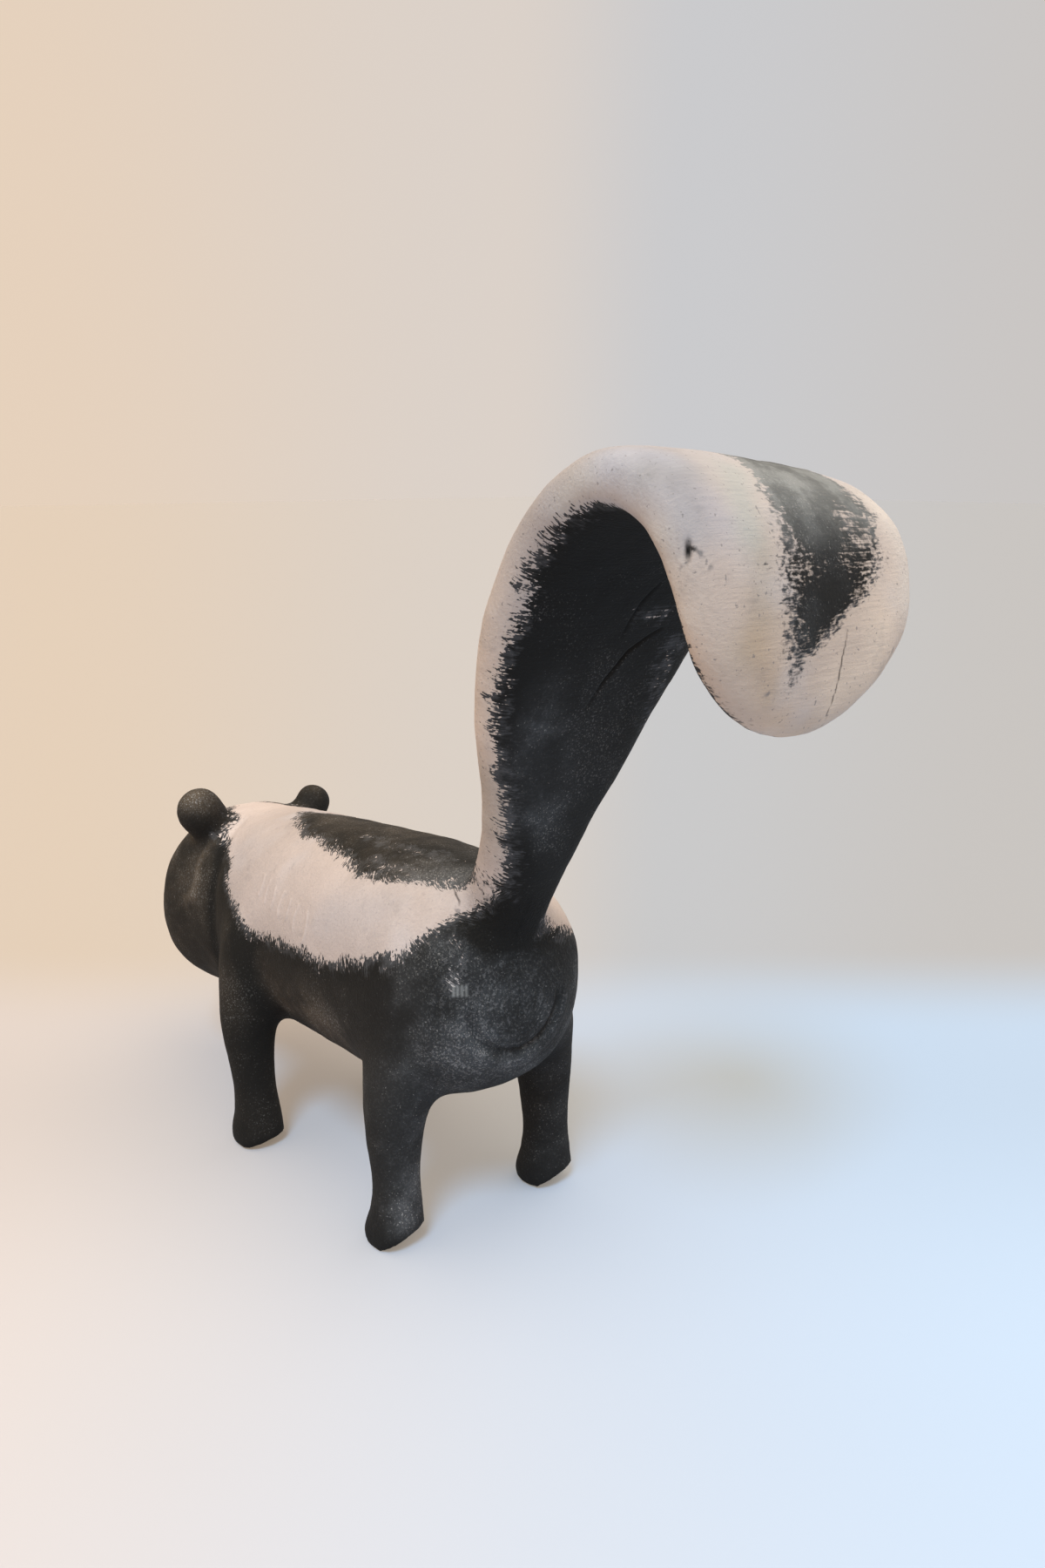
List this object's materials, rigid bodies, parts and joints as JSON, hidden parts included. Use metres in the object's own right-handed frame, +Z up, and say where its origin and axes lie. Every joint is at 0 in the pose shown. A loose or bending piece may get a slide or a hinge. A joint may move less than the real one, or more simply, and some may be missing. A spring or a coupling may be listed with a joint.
{
  "type": "carved wooden skunk sculpture",
  "caption": "Carved and painted wooden skunk standing on stubby legs, with a broad strap tail arched up and over behind it.",
  "frame": {"origin": "on the ground, under the middle of the part's box", "axes": "+Z up, the skunk faces -Y with its tail toward +Y, its left flank is +X"},
  "size_m": [0.1604, 0.6206, 0.4586],
  "materials": {
    "painted_wood": "matt charcoal paint with dry-brushed pinkish off-white stripes, dusty and lightly worn"
  },
  "bodies": {
    "root": {"skunk": "painted_wood"}
  },
  "joints": []
}
